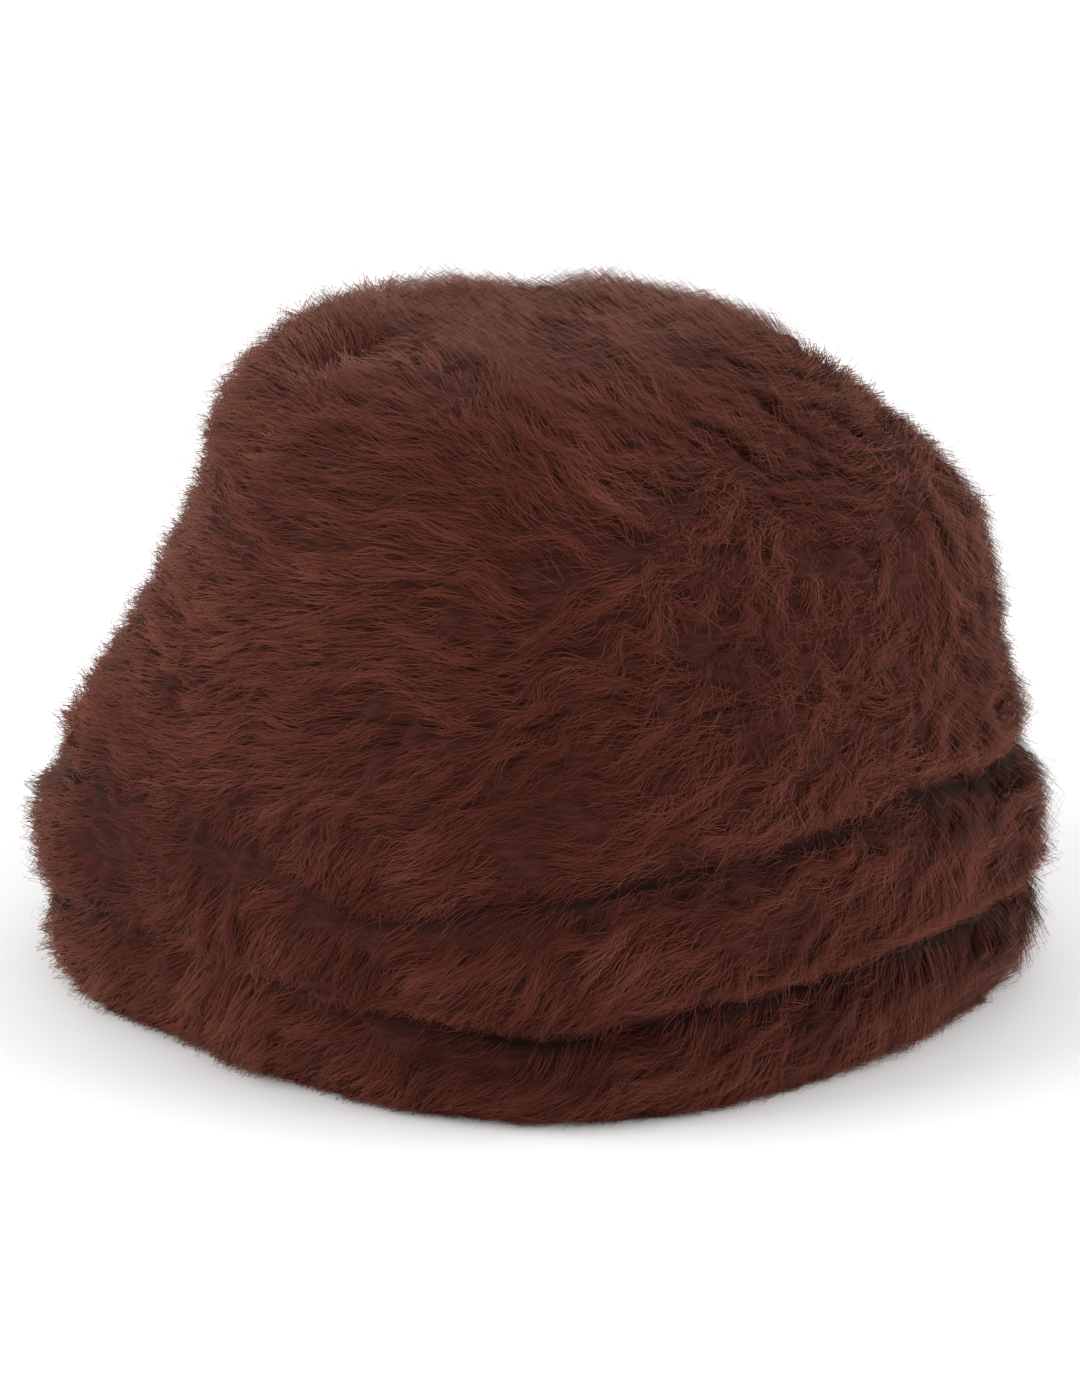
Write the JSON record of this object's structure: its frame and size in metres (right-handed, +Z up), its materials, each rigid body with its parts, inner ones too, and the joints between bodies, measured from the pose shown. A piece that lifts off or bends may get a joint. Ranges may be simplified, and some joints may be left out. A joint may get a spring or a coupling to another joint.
{
  "type": "faux fur bucket hat",
  "caption": "Soft brown faux fur bucket hat with a slumped crown and a deep, flared brim stitched in rows.",
  "frame": {"origin": "on the surface that the hat rests on, in the middle of its outline seen from above", "axes": "+Z up, +Y towards the back of the hat, +X to the right seen from the front"},
  "size_m": [0.2462, 0.247, 0.1603],
  "materials": {
    "brown_faux_fur": "long soft pile, matt"
  },
  "bodies": {
    "root": {"brim": "brown_faux_fur", "crown_side": "brown_faux_fur", "crown_tip": "brown_faux_fur"}
  },
  "joints": []
}
